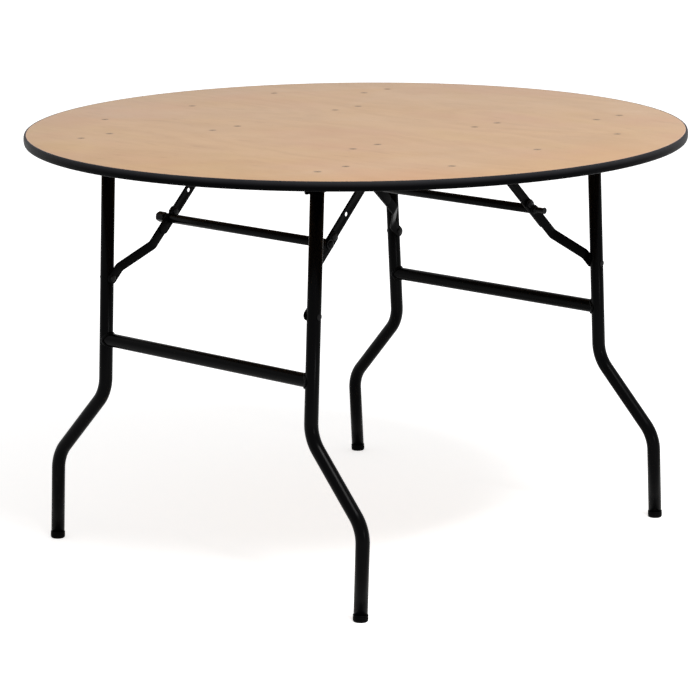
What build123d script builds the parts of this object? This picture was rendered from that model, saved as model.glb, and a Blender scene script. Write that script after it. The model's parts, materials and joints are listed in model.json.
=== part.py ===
from build123d import *
import os
from math import atan2, cos, degrees, hypot, radians, sin

# Round folding banquet table, 48 inches across, standing on its four feet.
# Millimetres, +Z up, origin on the floor under the middle of the top.
# X runs along each pair of legs, Y from the front leg frame to the back one.
# Both leg frames fold up against the underside, the back one under the front one.
# Each frame is held open by two folding braces that share one release bar.

# Overall sizes
table_diameter = 1219.2
table_height = 768.0

# Plywood board, and the black moulding pressed into a groove in its edge
board_thickness = 17.0
moulding_thickness = 4.4
moulding_edge = 1.4
barb_thickness = 2.2
barb_depth = 10.0
groove_clearance = 0.1
groove_spare_depth = 0.6
moulding_seam = 0.4

# Leg frames: where they hinge and stand, and the bends in their tube
hinge_setback = 228.1
foot_spread = 40.0
hinge_drop = 18.0
leg_half_width = 258.5
foot_half_width = 385.0
lower_corner_height = 161.0
upper_corner_height = 300.0
cross_bar_height = 398.5
bend_radius = 70.0
leg_top_rise = 7.5
tube_diameter = 25.0
tube_wall = 1.2
weld_size = 2.5

# Foot glides, pushed into the leg ends and level on the floor
glide_diameter = 27.0
glide_height = 12.5
glide_round = 3.5
glide_plug_length = 22.0
glide_plug_clearance = 0.1

# Steel brackets under the top
bracket_plate = 3.0
bracket_corner_radius = 6.0
hinge_ear_half_width = 15.5
hinge_ear_drop = 12.5
hinge_ear_corner_radius = 4.0
hinge_bolt_outset = 33.5
hinge_bolt_pitch = 70.0
hinge_plate_margin = 16.0
plate_end_margin = 13.0
brace_ear_radius = 13.0
brace_ear_margin = 2.0
brace_bracket_setback = 215.5
brace_bolt_pitch = 65.0
brace_bolt_inset = 20.5
brace_flange_width = 34.5

# Braces: the two pivots of each end's links, the links and their joggle
brace_half_width = 194.5
brace_pivot_drop = 16.0
front_brace_pivot_setback = 215.5
back_brace_pivot_setback = 251.5
front_brace_foot_height = 512.0
back_brace_foot_height = 485.0
brace_foot_clearance = 5.0
nesting_gap = 8.4
folded_link_angle = 3.0
link_width = 20.0
link_thickness = 3.0
link_tip_setback = 28.0
spare_hole_diameter = 8.0
spare_hole_reach = 106.5
link_foot_straight = 26.0
joggle_length = 58.0
joggle_bend_radius = 9.0

# Release bar between the two braces of one end: one of its studs is long and carries
# a lock nut and an end nut, a hexagon one at the front and a barrel one at the back,
# and the other stud is riveted over outside its washer
bar_diameter = 17.0
bar_wall = 1.5
bar_plug_length = 12.0
stud_diameter = 8.0
stud_setout = 16.0
stud_slot_clearance = 0.3
stud_head_diameter = 13.0
stud_head_height = 2.5
washer_diameter = 18.0
washer_thickness = 1.6
stud_nut_width = 13.0
lock_nut_height = 6.0
end_nut_length = 18.2
end_nut_bore_depth = 14.0
end_nut_width = 17.0
barrel_nut_diameter = 10.5
barrel_nut_head_diameter = 12.5
barrel_nut_head_height = 2.0
stud_end_clearance = 1.0

# Rivets and hinge bolts
rivet_diameter = 8.0
rivet_head_diameter = 13.0
rivet_head_height = 2.5
head_round_share = 0.8
foot_pin_head_diameter = 12.0
foot_pin_head_height = 1.2
foot_pin_recess = 0.1
hinge_bolt_diameter = 8.0
hinge_bolt_head_width = 13.0
hinge_bolt_head_height = 5.3
hinge_nut_height = 6.8
hinge_bolt_overhang = 1.5

# Flush bolts through the top, with flanged nuts below
top_bolt_diameter = 6.0
top_bolt_head_diameter = 13.0
top_bolt_head_land = 0.6
top_bolt_hole_clearance = 0.3
top_bolt_overhang = 2.5
top_nut_width = 10.0
top_nut_height = 5.0
top_nut_flange_diameter = 14.0
top_nut_flange_thickness = 1.2

# Stiffening rails beside the leg frames
rail_setback = 180.6
rail_width = 40.0
rail_depth = 13.0
rail_wall = 1.5
rail_corner_radius = 3.0
rail_bolt_reach = 230.0
rail_end_margin = 50.0

# Clearances
running_fit = 0.08
snug_fit = 0.05
head_gap = 0.1
link_gap = 0.2
leg_gap = 0.3
ear_gap = 0.4
cut_overrun = 2.0

# Levels and planes that several pieces share
underside = table_height - board_thickness
plate_underside = underside - bracket_plate
hinge_height = underside - hinge_drop
hinge_reach = table_diameter / 2 - hinge_setback
foot_reach = hinge_reach + foot_spread
brace_bracket_reach = hinge_reach - brace_bracket_setback
rail_reach = table_diameter / 2 - rail_setback
leg_length = hypot(foot_spread, hinge_height)
lean = atan2(foot_spread, hinge_height)
nesting_angle = atan2(tube_diameter + nesting_gap, hinge_reach)
board_radius = table_diameter / 2 - moulding_thickness
tube_radius = tube_diameter / 2
hinge_bolt_line = leg_half_width + hinge_bolt_outset
brace_bolt_line = brace_half_width - brace_bolt_inset
lowest_brace_foot = cross_bar_height + tube_radius + weld_size + link_width / 2 + brace_foot_clearance
upper_link_inside = brace_half_width + link_gap
upper_link_outside = upper_link_inside + link_thickness
lower_link_inside = upper_link_outside + link_gap
lower_link_outside = lower_link_inside + link_thickness
link_foot_outside = leg_half_width - tube_radius - leg_gap
link_foot_inside = link_foot_outside - link_thickness

ON_BASE = (Align.CENTER, Align.CENTER, Align.MIN)


def across(reach, height):
    """The place whose own Z runs along X, through the point at that reach and height."""
    return Plane(origin=(0, reach, height), x_dir=(0, 1, 0), z_dir=(1, 0, 0)).location


def pin(radius, start, end):
    """A round bar along its own Z, from start to end."""
    return Pos(0, 0, start) * Cylinder(radius, end - start, align=ON_BASE)


def hex_bar(width, start, end):
    """A hexagonal bar along its own Z, from start to end, width across its flats."""
    outline = RegularPolygon(width / 2, 6, major_radius=False)
    return Pos(0, 0, start) * extrude(outline, amount=end - start)


def round_head(diameter, height, base, way):
    """A low round head that stands on base and points along its own Z, or against it."""
    head = pin(diameter / 2, 0, height)
    head = fillet(head.edges().sort_by(Axis.Z)[-1], height * head_round_share)
    if way < 0:
        head = Rot(180, 0, 0) * head
    return Pos(0, 0, base) * head


def set_out(piece, end, side):
    """A piece drawn at the back right, taken to its own end and side of the table."""
    if side == "left":
        piece = mirror(piece, about=Plane.YZ)
    if end == "front":
        piece = mirror(piece, about=Plane.XZ)
    return piece


def in_leg_frame(piece):
    """A piece drawn on an upright leg, with the hinge at the origin, leant to its place."""
    return Pos(0, hinge_reach, hinge_height) * Rot(degrees(lean), 0, 0) * piece


def write(name, pieces):
    """One node as a STEP file, each of its pieces a solid of its own."""
    solids = [solid for piece in pieces for solid in piece.solids()]
    export_step(Compound(solids), os.path.join("parts", name + ".step"))


# Fasteners through the top


def bolt_places():
    """Every bolt through the top: its X and Y, and the plate that it holds."""
    places = []
    for side in (-1, 1):
        for end in (-1, 1):
            for step in (-1, 1):
                hinge_bolt_reach = hinge_reach + step * hinge_bolt_pitch / 2
                brace_bolt_reach = brace_bracket_reach + step * brace_bolt_pitch / 2
                places.append((side * hinge_bolt_line, end * hinge_bolt_reach, bracket_plate))
                places.append((side * brace_bolt_line, end * brace_bolt_reach, bracket_plate))
        for step in (-1, 0, 1):
            places.append((side * rail_reach, step * rail_bolt_reach, rail_wall))
    return places


def countersunk(shank_radius, head_radius, over, tip):
    """A flush head with a right-angled cone, from over above the top's face down to the tip."""
    land = table_height - top_bolt_head_land
    cone_end = land - (head_radius - shank_radius)
    outline = Polyline(
        (0, 0, table_height + over),
        (head_radius, 0, table_height + over),
        (head_radius, 0, land),
        (shank_radius, 0, cone_end),
        (shank_radius, 0, tip),
        (0, 0, tip),
        close=True,
    )
    return revolve(make_face(outline), Axis.Z)


def top_bolt(x, y, plate):
    tip = underside - plate - top_nut_height - top_bolt_overhang
    return Pos(x, y) * countersunk(top_bolt_diameter / 2, top_bolt_head_diameter / 2, 0, tip)


def top_bolt_nut(x, y, plate):
    seat = underside - plate
    nut = hex_bar(top_nut_width, seat - top_nut_height, seat)
    nut += pin(top_nut_flange_diameter / 2, seat - top_nut_flange_thickness, seat)
    nut -= pin(top_bolt_diameter / 2 + snug_fit, seat - top_nut_height - cut_overrun, seat + cut_overrun)
    return Pos(x, y) * nut


def top_bolt_hole(x, y):
    shank = top_bolt_diameter / 2 + top_bolt_hole_clearance
    head = top_bolt_head_diameter / 2 + snug_fit
    return Pos(x, y) * countersunk(shank, head, cut_overrun, underside - cut_overrun)


def plate_hole(x, y):
    """The hole for a top bolt in a bracket or rail."""
    hole = pin(top_bolt_diameter / 2 + snug_fit, plate_underside - cut_overrun, underside + cut_overrun)
    return Pos(x, y) * hole


# The top


def tabletop():
    board = pin(board_radius, underside, table_height)
    groove_height = barb_thickness + 2 * groove_clearance
    groove_floor = board_radius - barb_depth - groove_spare_depth
    middle = (underside + table_height) / 2
    groove = pin(board_radius + cut_overrun, middle - groove_height / 2, middle + groove_height / 2)
    groove -= pin(groove_floor, underside, table_height)
    holes = [top_bolt_hole(x, y) for x, y, plate in bolt_places()]
    return board - groove - holes


def edge_moulding():
    """A T-shaped strip round the board, its domed face outside and its barb in the groove."""
    middle = (underside + table_height) / 2
    barb_inside = board_radius - barb_depth
    face_edge = board_radius + moulding_edge
    barb_top = middle + barb_thickness / 2
    barb_bottom = middle - barb_thickness / 2
    dome = ThreePointArc(
        (face_edge, 0, underside),
        (board_radius + moulding_thickness, 0, middle),
        (face_edge, 0, table_height),
    )
    back = Polyline(
        (face_edge, 0, table_height),
        (board_radius, 0, table_height),
        (board_radius, 0, barb_top),
        (barb_inside, 0, barb_top),
        (barb_inside, 0, barb_bottom),
        (board_radius, 0, barb_bottom),
        (board_radius, 0, underside),
        (face_edge, 0, underside),
    )
    seam_angle = degrees(moulding_seam / board_radius)
    strip = revolve(make_face([dome, back]), Axis.Z, revolution_arc=360 - seam_angle)
    return Rot(0, 0, 90) * strip


def stiffening_rail():
    """A pressed channel under the board, its web against the underside."""
    length = 2 * (rail_bolt_reach + rail_end_margin)
    outline = Pos(0, -rail_depth / 2) * Rectangle(rail_width, rail_depth)
    outline = fillet(outline.vertices().group_by(Axis.Y)[-1], rail_corner_radius)
    hollow_depth = rail_depth - rail_wall + cut_overrun
    hollow = Pos(0, -rail_wall - hollow_depth / 2) * Rectangle(rail_width - 2 * rail_wall, hollow_depth)
    hollow = fillet(hollow.vertices().group_by(Axis.Y)[-1], rail_corner_radius - rail_wall)
    section = Plane(origin=(rail_reach, -length / 2, underside), x_dir=(-1, 0, 0), z_dir=(0, 1, 0))
    rail = extrude(section * (outline - hollow), amount=length)
    return rail - [plate_hole(rail_reach, step * rail_bolt_reach) for step in (-1, 0, 1)]


# Brackets that the leg frames and braces hang from


def base_plate(x_inside, x_outside, y_start, y_end):
    """A flat plate against the underside, with rounded corners."""
    size_x = x_outside - x_inside
    size_y = y_end - y_start
    plate = Box(size_x, size_y, bracket_plate, align=ON_BASE)
    plate = fillet(plate.edges().filter_by(Axis.Z), bracket_corner_radius)
    return Pos((x_inside + x_outside) / 2, (y_start + y_end) / 2, plate_underside) * plate


def round_ear(x_inside, reach, height, radius):
    """An ear below a base plate, round about the pivot at that reach and height."""
    rise = underside - height
    outline = Circle(radius) + Pos(0, rise / 2) * Rectangle(2 * radius, rise)
    return across(reach, height) * Pos(0, 0, x_inside) * extrude(outline, amount=bracket_plate)


def square_ear(x_inside):
    """The ear beside a leg's top end, its two lower corners rounded."""
    depth = hinge_drop + hinge_ear_drop
    outline = Rectangle(2 * hinge_ear_half_width, depth)
    outline = fillet(outline.vertices().group_by(Axis.Y)[0], hinge_ear_corner_radius)
    outline = Pos(0, hinge_drop - depth / 2) * outline
    return across(hinge_reach, hinge_height) * Pos(0, 0, x_inside) * extrude(outline, amount=bracket_plate)


def hinge_bracket():
    """An angle whose plate passes over the leg's top end and whose ear hangs inside it."""
    ear_inside = leg_half_width - tube_radius - ear_gap - bracket_plate
    half_length = hinge_bolt_pitch / 2 + plate_end_margin
    bracket = base_plate(
        ear_inside,
        hinge_bolt_line + hinge_plate_margin,
        hinge_reach - half_length,
        hinge_reach + half_length,
    )
    bracket += square_ear(ear_inside)
    ear_outside = ear_inside + bracket_plate
    bore = pin(hinge_bolt_diameter / 2 + snug_fit, ear_inside - cut_overrun, ear_outside + cut_overrun)
    bracket -= across(hinge_reach, hinge_height) * bore
    for step in (-1, 1):
        bracket -= plate_hole(hinge_bolt_line, hinge_reach + step * hinge_bolt_pitch / 2)
    return bracket


def brace_bracket(end):
    """An angle with one ear, which carries the top pivot of a brace."""
    pivot, knee, foot = brace_points(end)
    half_length = brace_bolt_pitch / 2 + plate_end_margin
    ear_start = pivot.Y - brace_ear_radius - brace_ear_margin
    ear_inside = brace_half_width - bracket_plate
    bracket = base_plate(
        brace_half_width - brace_flange_width,
        brace_half_width,
        min(brace_bracket_reach - half_length, ear_start),
        brace_bracket_reach + half_length,
    )
    bracket += round_ear(ear_inside, pivot.Y, pivot.Z, brace_ear_radius)
    bore = pin(rivet_diameter / 2 + snug_fit, ear_inside - cut_overrun, brace_half_width + cut_overrun)
    bracket -= across(pivot.Y, pivot.Z) * bore
    for step in (-1, 1):
        bracket -= plate_hole(brace_bolt_line, brace_bracket_reach + step * brace_bolt_pitch / 2)
    return bracket


def hinge_bolt():
    """The bolt that a leg turns on, its head outside the leg."""
    head_seat = leg_half_width + tube_radius + ear_gap
    nut_seat = leg_half_width - tube_radius - ear_gap - bracket_plate
    tip = nut_seat - hinge_nut_height - hinge_bolt_overhang
    bolt = pin(hinge_bolt_diameter / 2, tip, head_seat)
    bolt += hex_bar(hinge_bolt_head_width, head_seat, head_seat + hinge_bolt_head_height)
    return across(hinge_reach, hinge_height) * bolt


def hinge_nut():
    seat = leg_half_width - tube_radius - ear_gap - bracket_plate
    nut = hex_bar(hinge_bolt_head_width, seat - hinge_nut_height, seat)
    nut -= pin(hinge_bolt_diameter / 2 + snug_fit, seat - hinge_nut_height - cut_overrun, seat + cut_overrun)
    return across(hinge_reach, hinge_height) * nut


# Leg frames, drawn upright from the hinge and then leant


def brace_foot_drop(end):
    """How far down the leg the brace is riveted, from the hinge, clear of the cross bar's weld."""
    height = front_brace_foot_height if end == "front" else back_brace_foot_height
    return (hinge_height - max(height, lowest_brace_foot)) / cos(lean)


def leg(end):
    """One leg: a straight top, a bend out, a bend down again and a straight foot."""
    path = FilletPolyline(
        (foot_half_width, 0, glide_height - leg_length),
        (foot_half_width, 0, lower_corner_height - leg_length),
        (leg_half_width, 0, upper_corner_height - leg_length),
        (leg_half_width, 0, leg_top_rise),
        radius=bend_radius,
    )
    ring = Circle(tube_radius) - Circle(tube_radius - tube_wall)
    tube = sweep(Plane(origin=path @ 0, z_dir=path % 0) * ring, path=path)
    outside = leg_half_width + tube_diameter
    tube -= across(0, 0) * pin(hinge_bolt_diameter / 2 + running_fit, 0, outside)
    tube -= across(0, -brace_foot_drop(end)) * pin(rivet_diameter / 2 + snug_fit, 0, outside)
    return in_leg_frame(tube)


def cross_bar():
    """The bar welded between the two legs, its ends cut to fit round their tube."""
    height = cross_bar_height - leg_length
    bar = pin(tube_radius, -leg_half_width, leg_half_width)
    for side in (-1, 1):
        weld_ring = pin(tube_radius + weld_size, -tube_diameter, tube_diameter)
        weld_ring = Pos(side * leg_half_width, 0, height) * weld_ring
        bar_end = pin(tube_radius + weld_size, 0, leg_half_width)
        if side < 0:
            bar_end = pin(tube_radius + weld_size, -leg_half_width, 0)
        bar_end = across(0, height) * bar_end
        bar += across(0, height).inverse() * (weld_ring & bar_end)
    bar -= pin(tube_radius - tube_wall, -leg_half_width - cut_overrun, leg_half_width + cut_overrun)
    bar = across(0, height) * bar
    for side in (-1, 1):
        bar -= Pos(side * leg_half_width, 0, height) * pin(tube_radius, -tube_diameter, tube_diameter)
    return in_leg_frame(bar)


def foot_glide():
    """A round foot with a plug up the tube, cut level where it stands and rounded there."""
    glide = pin(glide_diameter / 2, -cut_overrun, glide_height)
    plug_radius = tube_radius - tube_wall - glide_plug_clearance
    glide += pin(plug_radius, glide_height, glide_height + glide_plug_length)
    glide = in_leg_frame(Pos(foot_half_width, 0, -leg_length) * glide)
    floor = Pos(foot_half_width, foot_reach, -glide_diameter) * Box(
        2 * glide_diameter, 2 * glide_diameter, glide_diameter, align=ON_BASE
    )
    glide -= floor
    return fillet(glide.faces().sort_by(Axis.Z)[0].edges(), glide_round)


def brace_foot_pin(end):
    """The leg's half of the pivot at a brace's foot, with a round head outside the leg."""
    head_seat = leg_half_width + tube_radius
    piece = pin(rivet_diameter / 2, leg_half_width - tube_radius + foot_pin_recess, head_seat)
    piece += round_head(foot_pin_head_diameter, foot_pin_head_height, head_seat, 1)
    return in_leg_frame(across(0, -brace_foot_drop(end)) * piece)


# Braces: two flat links each, straight when the leg is open


def brace_points(end):
    """The top pivot, the knee and the foot pivot of a brace, at the back of the table.

    The links lie in line when the leg is open. The knee splits that line so that
    both links also reach the leg when it is folded, the upper one almost flat.
    """
    setback = front_brace_pivot_setback if end == "front" else back_brace_pivot_setback
    folded_leg_angle = 0 if end == "front" else nesting_angle
    drop = brace_foot_drop(end)
    pivot = Vector(0, hinge_reach - setback, underside - brace_pivot_drop)
    foot = Vector(0, hinge_reach + drop * sin(lean), hinge_height - drop * cos(lean))
    folded_foot = Vector(
        0,
        hinge_reach - drop * cos(folded_leg_angle),
        hinge_height - drop * sin(folded_leg_angle),
    )
    folded_way = Vector(0, cos(radians(folded_link_angle)), -sin(radians(folded_link_angle)))
    span = (foot - pivot).length
    back_to_foot = pivot - folded_foot
    upper_length = (span**2 - back_to_foot.length**2) / (2 * (span + back_to_foot.dot(folded_way)))
    knee = pivot + (foot - pivot) * (upper_length / span)
    return pivot, knee, foot


def joggle_reach(end):
    """How far the joggle starts from the top pivot, along the brace."""
    pivot, knee, foot = brace_points(end)
    return (foot - pivot).length - link_foot_straight - joggle_length


def along_brace(end, start):
    """The place at start whose own X runs down the brace, Y across it and Z along X."""
    pivot, knee, foot = brace_points(end)
    return Plane(origin=start, x_dir=foot - pivot, z_dir=(1, 0, 0)).location


def upper_link(end):
    """A flat bar from the bracket, past the knee to the release bar and a little further."""
    pivot, knee, foot = brace_points(end)
    knee_at = (knee - pivot).length
    end_centre = joggle_reach(end) - link_tip_setback - link_width / 2
    outline = Pos(end_centre / 2, 0) * SlotCenterToCenter(end_centre, link_width)
    outline -= Circle(rivet_diameter / 2 + running_fit)
    outline -= Pos(knee_at, 0) * Circle(rivet_diameter / 2 + snug_fit)
    outline -= Pos(knee_at + stud_setout, 0) * Circle(stud_diameter / 2 + snug_fit)
    outline -= Pos(spare_hole_reach, 0) * Circle(spare_hole_diameter / 2)
    link = Pos(0, 0, upper_link_inside) * extrude(outline, amount=link_thickness)
    return along_brace(end, pivot) * link


def lower_link(end):
    """A flat bar from the knee that joggles out to the leg, notched round the release stud."""
    pivot, knee, foot = brace_points(end)
    foot_at = (foot - knee).length
    joggle_at = joggle_reach(end) - (knee - pivot).length
    knee_plane = (lower_link_inside + lower_link_outside) / 2
    foot_plane = (link_foot_inside + link_foot_outside) / 2
    path = FilletPolyline(
        (0, 0, knee_plane),
        (joggle_at, 0, knee_plane),
        (joggle_at + joggle_length, 0, foot_plane),
        (foot_at, 0, foot_plane),
        radius=joggle_bend_radius,
    )
    section = Plane(origin=path @ 0, x_dir=(0, 1, 0), z_dir=(1, 0, 0))
    link = sweep(section * Rectangle(link_width, link_thickness), path=path)
    link += pin(link_width / 2, lower_link_inside, lower_link_outside)
    link += Pos(foot_at, 0) * pin(link_width / 2, link_foot_inside, link_foot_outside)
    knee_bore = rivet_diameter / 2 + running_fit
    link -= pin(knee_bore, lower_link_inside - cut_overrun, lower_link_outside + cut_overrun)
    foot_bore = pin(rivet_diameter / 2 + snug_fit, link_foot_inside - cut_overrun, link_foot_outside + cut_overrun)
    link -= Pos(foot_at, 0) * foot_bore
    link -= Pos(0, 0, lower_link_inside - cut_overrun) * extrude(
        stud_notch(), amount=link_thickness + 2 * cut_overrun
    )
    return along_brace(end, knee) * link


def stud_notch():
    """The arc that the release stud sweeps out of the lower link as the knee folds."""
    half_width = stud_diameter / 2 + stud_slot_clearance
    outer = stud_setout + half_width
    arc = Circle(outer) - Circle(stud_setout - half_width)
    quarter = Rectangle(outer, outer, align=(Align.MIN, Align.MIN))
    return (arc & quarter) + Pos(stud_setout, 0) * Circle(half_width)


def brace_top_rivet(end):
    """The rivet that an upper link turns on, through the bracket's ear."""
    pivot, knee, foot = brace_points(end)
    inner_seat = brace_half_width - bracket_plate
    outer_seat = upper_link_outside + head_gap
    rivet = pin(rivet_diameter / 2, inner_seat, outer_seat)
    rivet += round_head(rivet_head_diameter, rivet_head_height, inner_seat, -1)
    rivet += round_head(rivet_head_diameter, rivet_head_height, outer_seat, 1)
    return across(pivot.Y, pivot.Z) * rivet


def knee_rivet(end):
    """The rivet that joins a brace's two links at the knee."""
    pivot, knee, foot = brace_points(end)
    outer_seat = lower_link_outside + head_gap
    rivet = pin(rivet_diameter / 2, upper_link_inside, outer_seat)
    rivet += round_head(rivet_head_diameter, rivet_head_height, upper_link_inside, -1)
    rivet += round_head(rivet_head_diameter, rivet_head_height, outer_seat, 1)
    return across(knee.Y, knee.Z) * rivet


def brace_foot_rivet(end):
    """The link's half of the pivot at a brace's foot, with a round head inside the link."""
    pivot, knee, foot = brace_points(end)
    rivet = pin(rivet_diameter / 2, link_foot_inside, link_foot_outside)
    rivet += round_head(rivet_head_diameter, rivet_head_height, link_foot_inside, -1)
    return across(foot.Y, foot.Z) * rivet


# Release bar, its washers and its nuts, drawn with the long stud at the right


def at_release_bar(end, piece):
    """A piece drawn on the release bar's axis, taken to its place below the knee."""
    pivot, knee, foot = brace_points(end)
    place = knee + (foot - pivot).normalized() * stud_setout
    return across(place.Y, place.Z) * piece


def washer_seats():
    """The inside and outside faces of the washer beside the lower link."""
    inside = lower_link_outside + leg_gap
    return inside, inside + washer_thickness


def release_bar(end):
    """A tube with a stud in each end, through both links: one long, and one riveted over."""
    washer_inside, washer_outside = washer_seats()
    end_nut_base = washer_outside + lock_nut_height
    stud_end = end_nut_base + end_nut_bore_depth - stud_end_clearance
    hollow_end = upper_link_inside - bar_plug_length
    bar = pin(bar_diameter / 2, -upper_link_inside, upper_link_inside)
    bar -= pin(bar_diameter / 2 - bar_wall, -hollow_end, hollow_end)
    bar += pin(stud_diameter / 2, hollow_end, stud_end)
    bar += pin(stud_diameter / 2, -washer_outside, -hollow_end)
    bar += round_head(stud_head_diameter, stud_head_height, -washer_outside, -1)
    return at_release_bar(end, bar)


def release_bar_washer(end):
    inside, outside = washer_seats()
    washer = pin(washer_diameter / 2, inside, outside)
    washer -= pin(stud_diameter / 2 + snug_fit, inside - cut_overrun, outside + cut_overrun)
    return at_release_bar(end, washer)


def release_bar_nuts(end):
    """A lock nut against the washer, and a closed end nut tight against it."""
    inside, lock_base = washer_seats()
    base = lock_base + lock_nut_height
    bore = stud_diameter / 2 + snug_fit
    lock_nut = hex_bar(stud_nut_width, lock_base, base) - pin(bore, lock_base - cut_overrun, base + cut_overrun)
    tip = base + end_nut_length
    if end == "front":
        end_nut = hex_bar(end_nut_width, base, tip)
    else:
        end_nut = pin(barrel_nut_diameter / 2, base, tip)
        end_nut += pin(barrel_nut_head_diameter / 2, tip - barrel_nut_head_height, tip)
    end_nut -= pin(bore, base - cut_overrun, base + end_nut_bore_depth)
    return [at_release_bar(end, nut) for nut in (lock_nut, end_nut)]


# The whole table, one file for each node

ends = ("front", "back")
sides = ("left", "right")
places = [(end, side) for end in ends for side in sides]
long_stud_side = {"front": "left", "back": "right"}
os.makedirs("parts", exist_ok=True)

write("tabletop", [tabletop()])
write("edge_moulding", [edge_moulding()])
write("top_bolts", [top_bolt(x, y, plate) for x, y, plate in bolt_places()])
write("top_bolt_nuts", [top_bolt_nut(x, y, plate) for x, y, plate in bolt_places()])
write("hinge_bolts", [set_out(hinge_bolt(), end, side) for end, side in places])
write("hinge_nuts", [set_out(hinge_nut(), end, side) for end, side in places])
write("brace_top_rivets", [set_out(brace_top_rivet(end), end, side) for end, side in places])
for side in sides:
    write(f"stiffening_rail_{side}", [set_out(stiffening_rail(), "back", side)])
for end, side in places:
    write(f"hinge_bracket_{end}_{side}", [set_out(hinge_bracket(), end, side)])
    write(f"brace_bracket_{end}_{side}", [set_out(brace_bracket(end), end, side)])
    write(f"leg_{end}_{side}", [set_out(leg(end), end, side)])
    write(f"foot_glide_{end}_{side}", [set_out(foot_glide(), end, side)])
    write(f"upper_link_{end}_{side}", [set_out(upper_link(end), end, side)])
    write(f"lower_link_{end}_{side}", [set_out(lower_link(end), end, side)])
for end in ends:
    write(f"cross_bar_{end}", [set_out(cross_bar(), end, "right")])
    stud_side = long_stud_side[end]
    write(f"release_bar_{end}", [set_out(release_bar(end), end, stud_side)])
    write(f"release_bar_nuts_{end}", [set_out(nut, end, stud_side) for nut in release_bar_nuts(end)])
    write(f"brace_foot_pins_{end}", [set_out(brace_foot_pin(end), end, side) for side in sides])
    write(f"brace_foot_rivets_{end}", [set_out(brace_foot_rivet(end), end, side) for side in sides])
    write(f"knee_rivets_{end}", [set_out(knee_rivet(end), end, side) for side in sides])
    write(f"release_bar_washers_{end}", [set_out(release_bar_washer(end), end, side) for side in sides])
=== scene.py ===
# Round folding banquet table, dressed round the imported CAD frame.
# Metres, +Z up, origin on the floor under the middle of the top.
# X runs along each pair of legs, the front leg frame is at -Y and the back one at +Y.
import json
from math import atan2, cos, hypot, pi, radians, sin, sqrt, tan

import bmesh
import bpy
from mathutils import Matrix, Vector

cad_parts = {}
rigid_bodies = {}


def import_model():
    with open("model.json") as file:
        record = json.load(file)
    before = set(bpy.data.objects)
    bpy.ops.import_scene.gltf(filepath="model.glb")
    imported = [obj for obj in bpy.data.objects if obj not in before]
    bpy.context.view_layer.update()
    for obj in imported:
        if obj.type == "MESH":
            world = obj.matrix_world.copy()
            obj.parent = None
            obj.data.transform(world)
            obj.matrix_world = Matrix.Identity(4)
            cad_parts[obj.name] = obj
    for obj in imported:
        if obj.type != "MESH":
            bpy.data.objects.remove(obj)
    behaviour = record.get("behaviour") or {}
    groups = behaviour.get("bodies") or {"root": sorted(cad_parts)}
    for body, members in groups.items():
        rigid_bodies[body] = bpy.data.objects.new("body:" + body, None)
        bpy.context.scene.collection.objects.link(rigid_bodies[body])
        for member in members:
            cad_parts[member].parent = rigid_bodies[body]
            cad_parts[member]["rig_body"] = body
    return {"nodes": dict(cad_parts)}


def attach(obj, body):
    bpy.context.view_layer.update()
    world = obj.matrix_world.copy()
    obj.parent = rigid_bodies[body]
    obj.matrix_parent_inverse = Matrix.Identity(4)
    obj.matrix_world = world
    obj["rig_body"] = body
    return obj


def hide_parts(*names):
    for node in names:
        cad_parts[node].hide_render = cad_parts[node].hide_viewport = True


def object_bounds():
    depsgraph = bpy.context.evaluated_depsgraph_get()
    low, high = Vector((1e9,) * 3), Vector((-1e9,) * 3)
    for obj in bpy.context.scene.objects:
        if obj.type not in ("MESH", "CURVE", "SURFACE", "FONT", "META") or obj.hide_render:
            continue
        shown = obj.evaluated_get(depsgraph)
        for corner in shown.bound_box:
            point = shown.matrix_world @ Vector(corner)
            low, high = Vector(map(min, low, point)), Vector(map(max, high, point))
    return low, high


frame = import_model()
cad_low, cad_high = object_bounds()
scene = bpy.context.scene


# Camera
# A long lens a little above the height of the top, turned well round to the right,
# so that the four legs stand apart and the top is a flat ellipse.
view_turn = radians(42.48)
view_rise = radians(12.94)
view_roll = radians(-0.54)
view_distance = 5.4276
lens_length = 148.7
aim_height = 0.3452
aim_sideways = -0.0142

toward_right = Vector((cos(view_turn), sin(view_turn), 0))
toward_camera = Vector((
    sin(view_turn) * cos(view_rise),
    -cos(view_turn) * cos(view_rise),
    sin(view_rise),
))
toward_up = toward_camera.cross(toward_right)
aim = toward_right * aim_sideways + Vector((0, 0, aim_height))
picture_right = toward_right * cos(view_roll) + toward_up * sin(view_roll)
picture_up = toward_up * cos(view_roll) - toward_right * sin(view_roll)
camera_turn = Matrix((picture_right, picture_up, toward_camera)).transposed().to_4x4()

camera_data = bpy.data.cameras.new("camera")
camera_data.sensor_width = 36
camera_data.lens = lens_length
camera = bpy.data.objects.new("camera", camera_data)
camera.matrix_world = Matrix.Translation(aim + toward_camera * view_distance) @ camera_turn
scene.collection.objects.link(camera)
scene.camera = camera


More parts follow.
